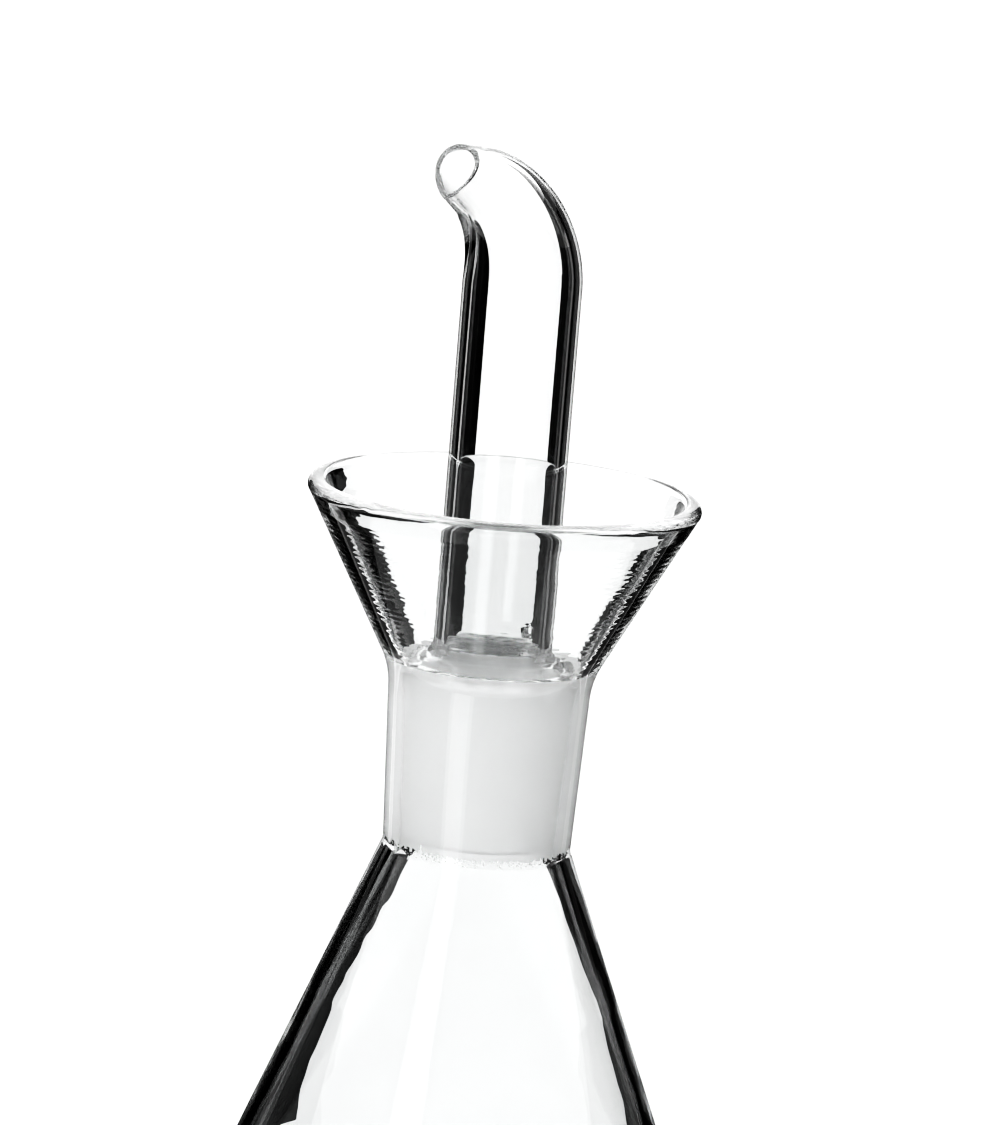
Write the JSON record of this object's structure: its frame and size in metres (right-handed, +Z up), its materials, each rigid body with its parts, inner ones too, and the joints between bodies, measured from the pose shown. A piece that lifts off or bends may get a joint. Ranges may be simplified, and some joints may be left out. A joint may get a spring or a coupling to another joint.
{
  "type": "oil bottle",
  "caption": "Clear glass oil bottle: conical flask body, ground-glass neck with a drip-catching funnel, and a lift-out ground stopper that carries a bent, tapering pouring spout.",
  "frame": {"origin": "centre of the flat base, on the surface the bottle stands on", "axes": "+Z up along the bottle's axis, +X the way the spout pours at rest"},
  "size_m": [0.086, 0.086, 0.1852],
  "materials": {
    "clear_glass": "clear borosilicate glass, fire polished",
    "ground_glass": "glass ground to a fine white frost on the joint faces"
  },
  "bodies": {
    "bottle": {"flask_body": "clear_glass", "neck_socket": "ground_glass", "drip_funnel": "clear_glass"},
    "stopper_plug": {"stopper_cone": "ground_glass"},
    "pour_head": {"stopper_shoulder": "clear_glass", "pour_spout": "clear_glass"}
  },
  "joints": [
    {"name": "stopper_lift", "type": "slide", "parent": "bottle", "child": "stopper_plug", "axis": [0, 0, 1], "range_m": [0, 0.056]},
    {"name": "spout_turn", "type": "hinge", "parent": "stopper_plug", "child": "pour_head", "pos_m": [0, 0, 0.1111], "axis": [0, 0, 1], "continuous": true}
  ]
}
